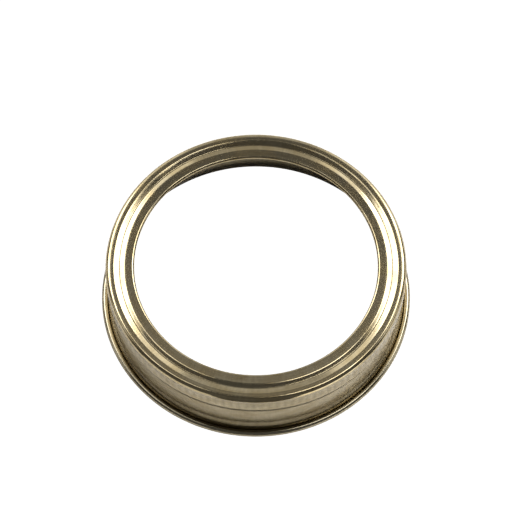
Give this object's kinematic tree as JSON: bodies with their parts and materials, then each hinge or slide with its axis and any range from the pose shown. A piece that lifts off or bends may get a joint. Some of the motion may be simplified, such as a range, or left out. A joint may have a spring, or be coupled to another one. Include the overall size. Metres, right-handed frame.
{
  "type": "canning jar screw band",
  "caption": "Open-top threaded metal ring with a grooved flange, knurled skirt and rolled lower edge that holds a flat lid on a canning jar.",
  "frame": {"origin": "on the ring's axis, at the level of the surface that the bottom curl stands on", "axes": "+Z along the ring's axis, from the bottom curl to the flange; the thread's lower end lies at 26 degrees clockwise from +X, seen from above"},
  "size_m": [0.074, 0.074, 0.0172],
  "materials": {
    "tinplate": "gold-lacquered tinplate, bright rolled finish"
  },
  "bodies": {
    "root": {"screw_band": "tinplate"}
  },
  "joints": []
}
